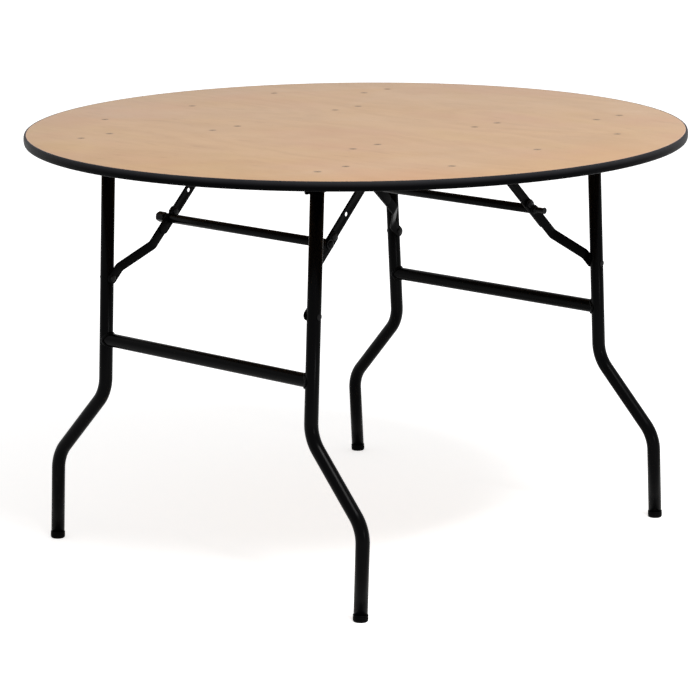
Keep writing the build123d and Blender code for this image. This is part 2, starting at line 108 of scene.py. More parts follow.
# Tabletop
# One round board of birch plywood under a clear satin lacquer, its rotary-cut face
# veneer running along X. It is cut on a router, its top arris is eased, and it is
# drilled and countersunk for the bolts.
class Value:
    """A socket whose operators add the nodes that work the sum out."""

    def __init__(self, graph, socket):
        self.graph = graph
        self.socket = socket

    def maths(self, operation, *values):
        return self.graph.node("ShaderNodeMath", {"operation": operation}, values)

    def __add__(self, other):
        return self.maths("ADD", self, other)

    def __sub__(self, other):
        return self.maths("SUBTRACT", self, other)

    def __rsub__(self, other):
        return self.maths("SUBTRACT", other, self)

    def __mul__(self, other):
        return self.maths("MULTIPLY", self, other)

    def __truediv__(self, other):
        return self.maths("DIVIDE", self, other)

    def __mod__(self, other):
        return self.maths("FLOORED_MODULO", self, other)

    def __pow__(self, other):
        return self.maths("POWER", self, other)

    def __neg__(self):
        return self.maths("MULTIPLY", self, -1)

    def __gt__(self, other):
        return self.maths("GREATER_THAN", self, other)

    def __lt__(self, other):
        return self.maths("LESS_THAN", self, other)

    def __abs__(self):
        return self.maths("ABSOLUTE", self)

    def sin(self):
        return self.maths("SINE", self)

    def cos(self):
        return self.maths("COSINE", self)

    def sqrt(self):
        return self.maths("SQRT", self)

    def at_least(self, other):
        return self.maths("MAXIMUM", self, other)

    def at_most(self, other):
        return self.maths("MINIMUM", self, other)

    def fade(self, start, end):
        """0 before start and 1 after end, with a smooth step between them."""
        sockets = {"Value": self, "From Min": start, "From Max": end}
        return self.graph.node("ShaderNodeMapRange", {"interpolation_type": "SMOOTHSTEP"}, sockets)

    __radd__ = __add__
    __rmul__ = __mul__


class Graph:
    """A node tree in the making, where one method adds any node."""

    def __init__(self, tree):
        self.tree = tree

    def node(self, kind, settings=None, sockets=(), output=0):
        """Adds a node, sets it, then fills its sockets by name or in order."""
        node = self.tree.nodes.new(kind)
        for name, setting in (settings or {}).items():
            setattr(node, name, setting)
        open_sockets = [socket for socket in node.inputs if socket.enabled]
        named = sockets.items() if isinstance(sockets, dict) else enumerate(sockets)
        for key, value in named:
            by_name = [socket for socket in open_sockets if socket.name == key]
            socket = by_name[0] if by_name else open_sockets[key]
            if isinstance(value, Value):
                self.tree.links.new(value.socket, socket)
            else:
                socket.default_value = value
        outputs = [socket for socket in node.outputs if socket.enabled]
        named_outputs = {socket.name: socket for socket in reversed(outputs)}
        return Value(self, named_outputs[output] if isinstance(output, str) else outputs[output])

    def vector(self, x, y, z):
        return self.node("ShaderNodeCombineXYZ", sockets=(x, y, z))

    def parts(self, vector):
        """The X, Y and Z of a vector."""
        split = self.node("ShaderNodeSeparateXYZ", sockets=(vector,))
        return [Value(self, socket) for socket in split.socket.node.outputs]

    def mix(self, share, first, second):
        """The first colour where share is 0, and the second where it is 1."""
        colours = [c if isinstance(c, Value) else (*c, 1) for c in (first, second)]
        settings = {"data_type": "RGBA"}
        return self.node("ShaderNodeMix", settings, {"Factor": share, "A": colours[0], "B": colours[1]})


class Finish(Graph):
    """A procedural material on Object coordinates."""

    def __init__(self, name):
        self.material = bpy.data.materials.new(name)
        self.material.use_nodes = True
        super().__init__(self.material.node_tree)
        self.shader = self.tree.nodes["Principled BSDF"]
        self.place = self.node("ShaderNodeTexCoord", output="Object")
        self.x, self.y, self.z = self.parts(self.place)

    def noise(self, scale, detail=2.0, rough=0.5, at=None, warp=0.0):
        """A noise between 0 and 1, with about scale cells to the metre."""
        sockets = {"Vector": at or self.place, "Scale": scale, "Detail": detail}
        sockets.update({"Roughness": rough, "Distortion": warp})
        return self.node("ShaderNodeTexNoise", sockets=sockets)

    def stretched(self, x, y, z):
        """The place with each axis scaled, to draw a pattern out along one of them."""
        return self.vector(self.x * x, self.y * y, self.z * z)

    def bump(self, height, depth):
        sockets = {"Strength": 1.0, "Distance": depth, "Height": height}
        return self.node("ShaderNodeBump", sockets=sockets)

    def shade(self, **sockets):
        """Sets or links the shader's own sockets, named with _ for a space."""
        for name, value in sockets.items():
            socket = self.shader.inputs[name.replace("_", " ")]
            if isinstance(value, Value):
                self.tree.links.new(value.socket, socket)
            else:
                socket.default_value = value
        return self.material


def settle(piece, slot, *nodes):
    """The piece rides with the nodes that it stands for, which are hidden. slot is not used."""
    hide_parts(*nodes)
    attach(piece, frame["nodes"][nodes[0]]["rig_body"])


def tidy_mesh(mesh, sharp):
    """Merges doubles, turns the faces outward, and keeps edges sharp past that angle."""
    work = bmesh.new()
    work.from_mesh(mesh)
    bmesh.ops.remove_doubles(work, verts=work.verts, dist=1e-6)
    bmesh.ops.recalc_face_normals(work, faces=work.faces)
    work.to_mesh(mesh)
    work.free()
    mesh.shade_smooth()
    mesh.set_sharp_from_angle(angle=radians(sharp))


def merged_copy(node, name, material, broken=None, width=0.0005):
    """The CAD part's own mesh as a new piece, merged, with its corners broken.

    broken says which of its edges are; without it, all the sharp ones are."""
    sharp = 40
    mesh = bpy.data.meshes.new(name)
    work = bmesh.new()
    work.from_mesh(frame["nodes"][node].data)
    bmesh.ops.remove_doubles(work, verts=work.verts, dist=1e-6)
    bmesh.ops.dissolve_limit(work, angle_limit=radians(0.5), verts=work.verts, edges=work.edges)
    edges = [edge for edge in work.edges if edge.is_manifold and edge.calc_face_angle() > radians(sharp)]
    if broken:
        edges = [edge for edge in edges if broken(edge)]
    rounding = {"segments": 2, "profile": 0.5, "affect": "EDGES", "clamp_overlap": False}
    bmesh.ops.bevel(work, geom=edges, offset=width, **rounding)
    work.to_mesh(mesh)
    work.free()
    for spare in ("custom_normal", "material_index"):
        if spare in mesh.attributes:
            mesh.attributes.remove(mesh.attributes[spare])
    mesh.materials.clear()
    mesh.materials.append(material)
    piece = bpy.data.objects.new(name, mesh)
    scene.collection.objects.link(piece)
    tidy_mesh(mesh, sharp)
    return piece


grain_pale = (0.489, 0.306, 0.168)
grain_mid = (0.422, 0.256, 0.137)
grain_dark = (0.283, 0.162, 0.089)
grain_pink = (0.452, 0.254, 0.149)
grain_yellow = (0.470, 0.298, 0.138)
# The paler, pinker colour of the painted highlight along the rim of the top
rim_highlight_tint = (0.60, 0.38, 0.29)
table_height = 0.768
underside = 0.751
board_edge = 0.6052

# Where the bolts come through the board, from its middle
hinge_reach = 0.3815
brace_bolt_reach = 0.166
rail_reach = 0.429
hinge_bolt_line = 0.292
brace_bolt_line = 0.174
hinge_bolt_step = 0.035
brace_bolt_step = 0.0325
rail_bolt_step = 0.23

# The grain, with another cut of it on the underside
birch = Finish("birch_plywood")
underneath = birch.z < underside + 0.001
shift = underneath * 3.7
along = birch.x + shift
over = birch.y + shift * 0.6
figure_place = birch.vector(along * 0.9, over * 3.2, 0.0)
figure_height = birch.noise(1.35, 3.0, 0.5, figure_place, 0.35)
oval = (((along - 0.20) / 0.26) ** 2.0 + ((over - 0.23) / 0.12) ** 2.0).sqrt()
crescent = (((along + 0.36) / 0.24) ** 2.0 + ((over - 0.04) / 0.12) ** 2.0).sqrt()
swell = (1.0 - oval.at_most(1.0)) + (1.0 - crescent.at_most(1.0)) * 0.8
rings = ((figure_height * 9.0 + swell * 2.2) * (2 * pi)).sin() * 0.5 + 0.5
ring_lines = rings.fade(0.90, 1.0) * birch.noise(4.0, 2.0, 0.5).fade(0.54, 0.72)
fibre = birch.noise(9.0, 4.0, 0.6, birch.vector(along, over * 26.0, 0.0))
fine_fibre = birch.noise(60.0, 2.0, 0.6, birch.vector(along * 0.8, over * 12.0, 0.0))
flecks = birch.noise(26.0, 1.0, 0.4, birch.vector(along, over * 7.0, 0.0)).fade(0.66, 0.76)
strokes = birch.noise(11.0, 3.0, 0.6, birch.vector(along, over * 3.5, 2.0)).fade(0.60, 0.80)
blotches = birch.noise(14.0, 4.0, 0.7, birch.vector(along, over * 2.2, 6.0))
clouds = birch.noise(2.6, 2.0, 0.5, birch.vector(along, over * 1.7, 0.0))
pink = birch.noise(3.0, 2.0, 0.6, birch.vector(along, over * 1.4, 4.0)).fade(0.45, 0.7)
yellow = birch.noise(3.4, 2.0, 0.6, birch.vector(along, over * 1.6, 9.0)).fade(0.5, 0.75)
tone = rings * 0.10 + fibre * 0.26 + fine_fibre * 0.12 + clouds * 0.24 + blotches * 0.28
wood = birch.mix(tone.fade(0.30, 0.70), grain_pale, grain_mid)
wood = birch.mix(pink * 0.55, wood, grain_pink)
wood = birch.mix(yellow * 0.45, wood, grain_yellow)
marks = strokes * 0.30 + flecks * 0.30 + ring_lines * 0.22
wood = birch.mix(marks.at_most(0.5), wood, grain_dark)

# A faint dark ring round each bolt, and a painted highlight: a paler, pinker band along the rim of the
# top
bolt_spots = [
    (hinge_bolt_line, hinge_reach - hinge_bolt_step),
    (hinge_bolt_line, hinge_reach + hinge_bolt_step),
    (brace_bolt_line, brace_bolt_reach - brace_bolt_step),
    (brace_bolt_line, brace_bolt_reach + brace_bolt_step),
    (rail_reach, rail_bolt_step),
    (rail_reach, 0.0),
]
past_x = abs(birch.x)
past_y = abs(birch.y)
nearest_bolt = past_x * 0.0 + 1.0
for spot_x, spot_y in bolt_spots:
    from_bolt = ((past_x - spot_x) ** 2.0 + (past_y - spot_y) ** 2.0).sqrt()
    nearest_bolt = nearest_bolt.at_most(from_bolt)
bolt_ring = 1.0 - nearest_bolt.fade(0.0062, 0.0105)
wood = birch.mix(bolt_ring * 0.4, wood, grain_dark)
# Painted highlight: the last 2 mm of the top towards its rim are paler and pinker
from_middle = (birch.x * birch.x + birch.y * birch.y).sqrt()
painted_rim_highlight = from_middle.fade(board_edge - 0.0020, board_edge - 0.0006)
wood = birch.mix(painted_rim_highlight * 0.7, wood, rim_highlight_tint)
birch_finish = birch.shade(
    Base_Color=wood,
    Roughness=birch.noise(7.0, 3.0) * 0.12 + 0.38,
    Specular_IOR_Level=0.18,
    Normal=birch.bump(fine_fibre * 0.6 + fibre * 0.4, 0.00005),
)


def on_top_rim(edge):
    """Whether an edge of the board's mesh is on the rim of its top face."""
    reach = min(hypot(vert.co.x, vert.co.y) for vert in edge.verts)
    height = min(vert.co.z for vert in edge.verts)
    return reach > board_edge - 0.001 and height > table_height - 0.0005


board = merged_copy("tabletop", "plywood_top", birch_finish, on_top_rim, 0.0006)
settle(board, "plywood", "tabletop")


# Edge moulding
# A T-shaped strip of black vinyl, extruded, bent round the board and pressed into the
# groove in its edge, with a butt seam at the back.
class Shape(Graph):
    """A Geometry Nodes tree with named sizes, and the pieces that it makes."""

    def __init__(self, name, **sizes):
        tree = bpy.data.node_groups.new(name, "GeometryNodeTree")
        super().__init__(tree)
        tree.interface.new_socket("Geometry", in_out="INPUT", socket_type="NodeSocketGeometry")
        tree.interface.new_socket("Geometry", in_out="OUTPUT", socket_type="NodeSocketGeometry")
        for size, value in sizes.items():
            title = size.replace("_", " ")
            socket = tree.interface.new_socket(title, in_out="INPUT", socket_type="NodeSocketFloat")
            socket.default_value = value
        tree.interface.new_socket("Finish", in_out="INPUT", socket_type="NodeSocketMaterial")
        group = tree.nodes.new("NodeGroupInput")
        self.sizes = {socket.name: Value(self, socket) for socket in group.outputs if socket.name}
        self.end = tree.nodes.new("NodeGroupOutput")

    def __getitem__(self, name):
        return self.sizes[name]

    def chosen(self, index, values):
        """The value in the list at that index."""
        switch = self.tree.nodes.new("GeometryNodeIndexSwitch")
        switch.data_type = "FLOAT"
        while len(switch.index_switch_items) < len(values):
            switch.index_switch_items.new()
        self.tree.links.new(index.socket, switch.inputs["Index"])
        for number, value in enumerate(values):
            if isinstance(value, Value):
                self.tree.links.new(value.socket, switch.inputs[1 + number])
            else:
                switch.inputs[1 + number].default_value = value
        return Value(self, switch.outputs[0])

    def line(self, *points, closed=False):
        """A curve of straight runs through points whose coordinates are sizes or sums."""
        line = self.node("GeometryNodeMeshLine", sockets={"Count": len(points)})
        index = self.node("GeometryNodeInputIndex")
        place = self.vector(*[self.chosen(index, axis) for axis in zip(*points)])
        line = self.node("GeometryNodeSetPosition", sockets={"Geometry": line, "Position": place})
        curve = self.node("GeometryNodeMeshToCurve", sockets=(line,))
        return self.node("GeometryNodeSetSplineCyclic", sockets={"Geometry": curve, "Cyclic": closed})

    def swept(self, curve, section, caps=False, scale=1.0):
        sockets = {"Curve": curve, "Profile Curve": section, "Fill Caps": caps, "Scale": scale}
        return self.node("GeometryNodeCurveToMesh", sockets=sockets)

    def ends_in(self, geometry):
        """Closes the tree: real geometry, in its finish."""
        geometry = self.node("GeometryNodeRealizeInstances", sockets=(geometry,))
        sockets = {"Geometry": geometry, "Material": self["Finish"]}
        geometry = self.node("GeometryNodeSetMaterial", sockets=sockets)
        self.tree.links.new(geometry.socket, self.end.inputs[0])

    def make(self, name, finish, places=(), aims=(), turn=None, sharp=35, **sizes):
        """A plain mesh of the tree's result, with its seams closed and faces outward."""
        start = bpy.data.meshes.new(name)
        start.from_pydata(places, [], [])
        aim_data = start.attributes.new("aim", "FLOAT_VECTOR", "POINT")
        for number, direction in enumerate(aims):
            aim_data.data[number].vector = direction
        piece = bpy.data.objects.new(name, start)
        scene.collection.objects.link(piece)
        modifier = piece.modifiers.new("shape", "NODES")
        modifier.node_group = self.tree
        given = {size.replace("_", " "): value for size, value in sizes.items()}
        given["Finish"] = finish
        for item in self.tree.interface.items_tree:
            if item.name in given:
                modifier[item.identifier] = given[item.name]
        graph = bpy.context.evaluated_depsgraph_get()
        baked = bpy.data.meshes.new_from_object(piece.evaluated_get(graph), depsgraph=graph)
        piece.modifiers.remove(modifier)
        piece.data = baked
        if turn:
            baked.transform(turn)
        tidy_mesh(baked, sharp)
        return piece


vinyl = Finish("moulding_vinyl")
die_lines = vinyl.noise(900.0, 2.0, 0.6, vinyl.stretched(0.0, 0.0, 1.0))
vinyl_cloud = vinyl.noise(14.0, 3.0)

# Painted reflection: the base colour turns paler, in patches, towards the upper edge
vinyl_black = vinyl.mix(vinyl_cloud, (0.0005, 0.0005, 0.0007), (0.0012, 0.0012, 0.0016))
painted_top_sheen = vinyl.z.fade(0.7575, 0.7680) * (vinyl_cloud * 0.6 + 0.6)
vinyl_finish = vinyl.shade(
    Base_Color=vinyl.mix(painted_top_sheen.at_most(1.0), vinyl_black, (0.026, 0.026, 0.029)),
    Roughness=vinyl_cloud * 0.10 + die_lines * 0.06 + 0.34,
    Specular_IOR_Level=0.018,
    Normal=vinyl.bump(die_lines + vinyl.noise(1100.0, 1.0) * 0.5, 0.00002),
)

strip = Shape(
    "edge_strip",
    Board_radius=board_edge,
    Face_height=0.017,
    Face_thickness=0.0044,
    Edge_thickness=0.0014,
    Barb_thickness=0.0022,
    Barb_depth=0.010,
    Seam_gap=0.0004,
    Segments=480.0,
)
half_face = strip["Face height"] / 2
half_barb = strip["Barb thickness"] / 2
dome_rise = strip["Face thickness"] - strip["Edge thickness"]
section_points = []
for step in range(-8, 9):
    share = step / 8
    bulge = sqrt(1 - abs(share) ** 2.6)
    section_points.append((strip["Edge thickness"] + dome_rise * bulge, half_face * share, 0.0))
section_points += [
    (0.0, half_face, 0.0),
    (0.0, half_barb, 0.0),
    (strip["Barb depth"] * -0.8, half_barb, 0.0),
    (-strip["Barb depth"], half_barb * 0.4, 0.0),
    (-strip["Barb depth"], half_barb * -0.4, 0.0),
    (strip["Barb depth"] * -0.8, -half_barb, 0.0),
    (0.0, -half_barb, 0.0),
    (0.0, -half_face, 0.0),
]
strip_section = strip.line(*section_points, closed=True)
seam_turn = strip["Seam gap"] / strip["Board radius"]
strip_path = strip.node("GeometryNodeCurveArc", {"mode": "RADIUS"}, {
    "Resolution": strip["Segments"],
    "Radius": strip["Board radius"],
    "Start Angle": seam_turn / 2 + pi / 2,
    "Sweep Angle": 2 * pi - seam_turn,
})
strip.ends_in(strip.swept(strip_path, strip_section, caps=True))
board_middle = Matrix.Translation((0, 0, (underside + cad_high.z) / 2))
moulding = strip.make("moulding", vinyl_finish, turn=board_middle)
settle(moulding, "moulding", "edge_moulding")


# Flush bolts through the top
# Countersunk machine screws with a cross recess, zinc plated, dulled and yellowed by wiping.
# Two hold each bracket and three hold each rail, and each has a nut below.
class Turned(Shape):
    """A tree for pieces turned round their own Z, with flats or a recess where asked."""

    def __init__(self, name, **sizes):
        super().__init__(name, **sizes)
        self.column, turn_share, _ = self.parts(self.node("GeometryNodeInputPosition"))
        self.turn = (turn_share + 0.5) * (2 * pi)

    def lathe(self, *outline, segments=48):
        """The surface that an outline of radii and heights makes, from pole to pole or closed."""
        columns = len(outline)
        grid = self.node("GeometryNodeMeshGrid", sockets={
            "Size X": columns - 1, "Size Y": 1, "Vertices X": columns, "Vertices Y": segments + 1,
        })
        index = self.column + (columns - 1) / 2 + 0.25
        radius = self.chosen(index, [point[0] for point in outline])
        height = self.chosen(index, [point[1] for point in outline])
        place = self.vector(radius * self.turn.cos(), radius * self.turn.sin(), height)
        surface = self.node("GeometryNodeSetPosition", sockets={"Geometry": grid, "Position": place})
        return self.node("GeometryNodeMergeByDistance", sockets={"Geometry": surface, "Distance": 1e-6})

    def hexagon(self, width):
        """The radius to the flats and corners of a hexagon, width across its flats."""
        from_flat = self.turn % radians(60) - radians(30)
        return width / 2 / from_flat.cos()

    def chamfer(self, width, inside, top, way=1):
        """The height of a hexagon's edge where a 30 degree chamfer from that radius cuts it."""
        return top - (self.hexagon(width) - inside) * (tan(radians(30)) * way)

    def thread(self, radius, start, end, pitch):
        """An outline's points along a thread, each turn of it a plain ridge."""
        turns = int(abs(end - start) / pitch)
        way = pitch if end > start else -pitch
        points = []
        for number in range(turns):
            height = start + way * number
            points.append((radius, height + way * 0.15))
            points.append((radius - pitch * 0.45, height + way * 0.65))
        return points

    def at_places(self, geometry, seed=7):
        """That geometry at each of the piece's places, along its aim and spun at random."""
        named = "GeometryNodeInputNamedAttribute"
        aim = self.node(named, {"data_type": "FLOAT_VECTOR"}, {"Name": "aim"}, "Attribute")
        turn = self.node("FunctionNodeAlignRotationToVector", {"axis": "Z"}, {"Vector": aim})
        sockets = {"Max": 2 * pi, "Seed": seed}
        spin = self.node("FunctionNodeRandomValue", {"data_type": "FLOAT"}, sockets)
        spin = self.node("FunctionNodeAxisAngleToRotation", sockets={"Axis": (0, 0, 1), "Angle": spin})
        turn = self.node("FunctionNodeRotateRotation", {"rotation_space": "LOCAL"}, (turn, spin))
        sockets = {"Points": self["Geometry"], "Instance": geometry, "Rotation": turn}
        return self.node("GeometryNodeInstanceOnPoints", sockets=sockets)


up = Vector((0, 0, 1))
bolts_in_brackets = []
bolts_in_rails = []
for side_way in (-1, 1):
    for end_way in (-1, 1):
        for step in (-1, 1):
            hinge_bolt_reach = hinge_reach + step * hinge_bolt_step
            brace_reach = brace_bolt_reach + step * brace_bolt_step
            bolts_in_brackets.append(Vector((side_way * hinge_bolt_line, end_way * hinge_bolt_reach, 0)))
            bolts_in_brackets.append(Vector((side_way * brace_bolt_line, end_way * brace_reach, 0)))
    for step in (-1, 0, 1):
        bolts_in_rails.append(Vector((side_way * rail_reach, step * rail_bolt_step, 0)))

zinc = Finish("dull_zinc")
zinc_cloud = zinc.noise(260.0, 3.0, 0.6)
zinc_scratch = zinc.noise(900.0, 2.0, 0.6, zinc.stretched(0.12, 1.0, 1.0))
zinc_finish = zinc.shade(
    Base_Color=zinc.mix(zinc_cloud, (0.210, 0.146, 0.094), (0.330, 0.240, 0.160)),
    Metallic=0.3,
    Roughness=zinc_scratch * 0.25 + 0.45,
    Specular_IOR_Level=0.2,
    Normal=zinc.bump(zinc_scratch, 0.00001),
)

flush_bolt = Turned(
    "flush_bolt",
    Head_diameter=0.013,
    Head_land=0.0006,
    Shank_diameter=0.006,
    Length=0.0275,
    Recess_depth=0.0019,
)
head = flush_bolt["Head diameter"] / 2
land = flush_bolt["Head land"]
shank = flush_bolt["Shank diameter"] / 2
tip = -flush_bolt["Length"]
cone_end = -(land + head - shank)
recess = -flush_bolt["Recess depth"]
in_arm = (flush_bolt.turn * 4.0).cos() > 0.45
flush_bolt.ends_in(flush_bolt.at_places(flush_bolt.lathe(
    (0.0, recess),
    (head * 0.12, recess),
    (head * 0.20, recess * (0.9 * in_arm + 0.05)),
    (head * 0.42, recess * 0.62 * in_arm),
    (head * 0.50, 0.0),
    (head - 0.0003, 0.0),
    (head, -0.0002),
    (head, -land),
    (shank, cone_end),
    *flush_bolt.thread(radius=0.003, start=-0.0190, end=-0.0270, pitch=0.001),
    (shank - 0.0007, tip),
    (0.0, tip),
)))
top_places = [place + up * table_height for place in bolts_in_brackets + bolts_in_rails]
flush_bolts = flush_bolt.make("flush_bolts", zinc_finish, top_places, [up] * len(top_places))
settle(flush_bolts, "flush_bolt_steel", "top_bolts")


# Nuts under the top
# Flanged hexagon nuts, cold formed and tapped, in black oxide steel. There is one on
# each bolt, tightened against the bracket or rail that it holds.
bracket_plate = 0.003
rail_wall = 0.0015

oxide = Finish("black_oxide_steel")
oxide_cloud = oxide.noise(180.0, 3.0, 0.6)
rubbed = oxide.noise(700.0, 2.0, 0.7).fade(0.60, 0.75)
oxide_finish = oxide.shade(
    Base_Color=oxide.mix(rubbed * 0.35, (0.004, 0.004, 0.0045), (0.06, 0.057, 0.054)),
    Metallic=0.3,
    Roughness=oxide_cloud * 0.2 + 0.28,
    Specular_IOR_Level=0.08,
    Normal=oxide.bump(oxide_cloud, 0.00002),
)

flange_nut = Turned(
    "flange_nut",
    Width=0.010,
    Height=0.005,
    Flange_diameter=0.014,
    Flange_thickness=0.0012,
    Bore=0.0061,
)
nut_width = flange_nut["Width"]
flange = flange_nut["Flange diameter"] / 2
flange_edge = flange_nut["Flange thickness"]
nut_top = flange_nut["Height"]
bore = flange_nut["Bore"] / 2
face = nut_width * 0.475
flange_nut.ends_in(flange_nut.at_places(flange_nut.lathe(
    (bore, 0.0002),
    (bore + 0.0002, 0.0),
    (flange - 0.0003, 0.0),
    (flange, 0.0003),
    (flange, flange_edge * 0.6),
    (flange - 0.0004, flange_edge * 0.9),
    (flange_nut.hexagon(nut_width), flange_edge * 1.5),
    (flange_nut.hexagon(nut_width), flange_nut.chamfer(nut_width, face, nut_top)),
    (face, nut_top),
    (bore + 0.0005, nut_top),
    (bore, nut_top - 0.0005),
    (bore, 0.0002),
)))
nut_places = [place + up * (underside - bracket_plate) for place in bolts_in_brackets]
nut_places += [place + up * (underside - rail_wall) for place in bolts_in_rails]
flange_nuts = flange_nut.make("flange_nuts", oxide_finish, nut_places, [-up] * len(nut_places))
settle(flange_nuts, "dark_fasteners", "top_bolt_nuts")


# Stiffening rails
# Pressed steel channels bolted web up against the underside, outside the folded legs.
# They are sheared to length, rolled and painted satin black, with a thin coat inside.
rail = Finish("rail_paint")
drawn = rail.noise(220.0, 2.0, 0.5, rail.stretched(1.0, 0.03, 1.0))
rail_cloud = rail.noise(20.0, 4.0, 0.6)
thin_coat = rail.noise(95.0, 3.0, 0.7).fade(0.66, 0.74)
rail_finish = rail.shade(
    Base_Color=rail.mix(thin_coat * 0.5, (0.003, 0.003, 0.0035), (0.035, 0.032, 0.03)),
    Roughness=rail_cloud * 0.2 + 0.26,
    Specular_IOR_Level=0.1,
    Normal=rail.bump(drawn * 0.6 + rail_cloud * 0.4, 0.00004),
)
ends = (("front", -1.0), ("back", 1.0))
sides = (("left", -1.0), ("right", 1.0))
for side, side_way in sides:
    node = f"stiffening_rail_{side}"
    settle(merged_copy(node, f"channel_rail_{side}", rail_finish, width=0.0003), "rail_steel", node)


# Brackets
# Pressed steel angles bolted under the top, each with one ear turned down: a square ear
# inside each leg, and a round one at each brace. Black powder coat, rubbed at the edges.
plate = Finish("bracket_coat")
plate_peel = plate.noise(520.0, 2.0)
plate_cloud = plate.noise(24.0, 4.0, 0.6)
plate_rub = plate.noise(130.0, 4.0, 0.75).fade(0.64, 0.72)
plate_finish = plate.shade(
    Base_Color=plate.mix(plate_rub * 0.4, (0.0008, 0.0008, 0.0010), (0.020, 0.019, 0.018)),
    Roughness=plate_cloud * 0.18 + 0.30,
    Specular_IOR_Level=0.025,
    Normal=plate.bump(plate_peel, 0.00002),
)
for end, _ in ends:
    for side, _ in sides:
        for kind in ("hinge", "brace"):
            node = f"{kind}_bracket_{end}_{side}"
            piece = merged_copy(node, f"{kind}_ears_{end}_{side}", plate_finish)
            settle(piece, "black_steel_plate", node)


# Hinge bolts and their lock nuts
# A hexagon bolt through the top of each leg and the ear inside it, its head outside the
# leg, and a lock nut with a rounded collar, left just loose enough for the leg to turn.
hinge_height = 0.733
leg_half_width = 0.2585
tube_radius = 0.0125
ear_gap = 0.0004
head_seat = leg_half_width + tube_radius + ear_gap
nut_seat = leg_half_width - tube_radius - ear_gap - bracket_plate

hinge_bolt = Turned(
    "hinge_bolt",
    Diameter=0.008,
    Head_width=0.013,
    Head_height=0.0053,
    Length=0.0371,
)
hinge_shank = hinge_bolt["Diameter"] / 2
head_width = hinge_bolt["Head width"]
head_top = hinge_bolt["Head height"]
head_face = head_width * 0.47
hinge_tip = -hinge_bolt["Length"]
hinge_bolt.ends_in(hinge_bolt.at_places(hinge_bolt.lathe(
    (0.0, hinge_tip),
    (hinge_shank - 0.0008, hinge_tip),
    *hinge_bolt.thread(radius=0.004, start=-0.0365, end=-0.0290, pitch=0.00125),
    (hinge_shank, -0.028),
    (hinge_shank, 0.0),
    (head_face, 0.0),
    (head_face, 0.0003),
    (hinge_bolt.hexagon(head_width) - 0.0001, 0.0003),
    (hinge_bolt.hexagon(head_width), 0.0005),
    (hinge_bolt.hexagon(head_width), hinge_bolt.chamfer(head_width, head_face, head_top)),
    (head_face, head_top),
    (head_face - 0.0006, head_top - 0.0002),
    (0.0, head_top - 0.0002),
)))
lock_nut = Turned(
    "lock_nut",
    Width=0.013,
    Height=0.0068,
    Collar_height=0.0020,
    Bore=0.0081,
)
lock_width = lock_nut["Width"]
lock_face = lock_width * 0.475
lock_top = lock_nut["Height"]
collar = lock_top - lock_nut["Collar height"]
lock_bore = lock_nut["Bore"] / 2
lock_nut.ends_in(lock_nut.at_places(lock_nut.lathe(
    (lock_bore, 0.0003),
    (lock_bore + 0.0003, 0.0),
    (lock_face, 0.0),
    (lock_nut.hexagon(lock_width), lock_nut.chamfer(lock_width, lock_face, 0.0, -1)),
    (lock_nut.hexagon(lock_width), lock_nut.chamfer(lock_width, lock_face, collar)),
    (lock_face, collar),
    (lock_face - 0.0005, collar + 0.0002),
    (lock_face - 0.0005, lock_top - 0.0009),
    (lock_face - 0.0009, lock_top - 0.0002),
    (lock_face - 0.0014, lock_top),
    (lock_bore + 0.0004, lock_top),
    (lock_bore, lock_top - 0.0004),
    (lock_bore, 0.0003),
)))
head_places = []
nut_places = []
outward = []
inward = []
for _, end_way in ends:
    for _, side_way in sides:
        pivot = Vector((0, end_way * hinge_reach, hinge_height))
        out = Vector((side_way, 0, 0))
        head_places.append(pivot + out * head_seat)
        nut_places.append(pivot + out * nut_seat)
        outward.append(out)
        inward.append(-out)
hinge_bolts = hinge_bolt.make("hexagon_bolts", oxide_finish, head_places, outward)
settle(hinge_bolts, "dark_fasteners", "hinge_bolts")
lock_nuts = lock_nut.make("lock_nuts", oxide_finish, nut_places, inward)
settle(lock_nuts, "dark_fasteners", "hinge_nuts")


# Legs
# Round steel tube, bent out and down again so that the feet stand wider than the
# hinges, under a gloss black powder coat. The top end is open, close under its bracket.
gloss = Finish("gloss_black_powder_coat")
orange_peel = gloss.noise(420.0, 2.0, 0.5)
handling = gloss.noise(11.0, 4.0, 0.65)
near_floor = 1.0 - gloss.z.fade(0.02, 0.22)
scuffs = gloss.noise(60.0, 3.0, 0.7, gloss.stretched(1.0, 1.0, 0.35)).fade(0.62, 0.72) * near_floor
gloss_finish = gloss.shade(
    Base_Color=gloss.mix(scuffs * 0.5, (0.0005, 0.0005, 0.0007), (0.012, 0.012, 0.012)),
    Roughness=handling.fade(0.35, 0.75) * 0.08 + scuffs * 0.25 + 0.30,
    Specular_IOR_Level=0.006,
    Coat_Weight=0.8,
    Coat_Roughness=0.24,
    Coat_IOR=1.12,
    Normal=gloss.bump(orange_peel, 0.000018),
)

foot_spread = 0.040
foot_half_width = 0.385
tube_wall = 0.0012
leg_length = hypot(foot_spread, hinge_height)
lean = atan2(foot_spread, hinge_height)

leg_shape = Shape(
    "bent_leg",
    Side=1.0,
    End=1.0,
    Hinge_reach=hinge_reach,
    Hinge_height=hinge_height,
    Foot_spread=foot_spread,
    Leg_half_width=leg_half_width,
    Foot_half_width=foot_half_width,
    Lower_corner=0.161,
    Upper_corner=0.300,
    Top_rise=0.0075,
    Foot_end=0.0125,
    Bend_radius=0.070,
    Tube_diameter=0.025,
)


def on_leg(half_width, from_foot):
    """A point of the leg's middle line, at that distance up the leaning leg from the floor."""
    risen = from_foot / leg_length
    reach = leg_shape["Hinge reach"] + leg_shape["Foot spread"] * (1.0 - risen)
    return (leg_shape["Side"] * half_width, leg_shape["End"] * reach, leg_shape["Hinge height"] * risen)


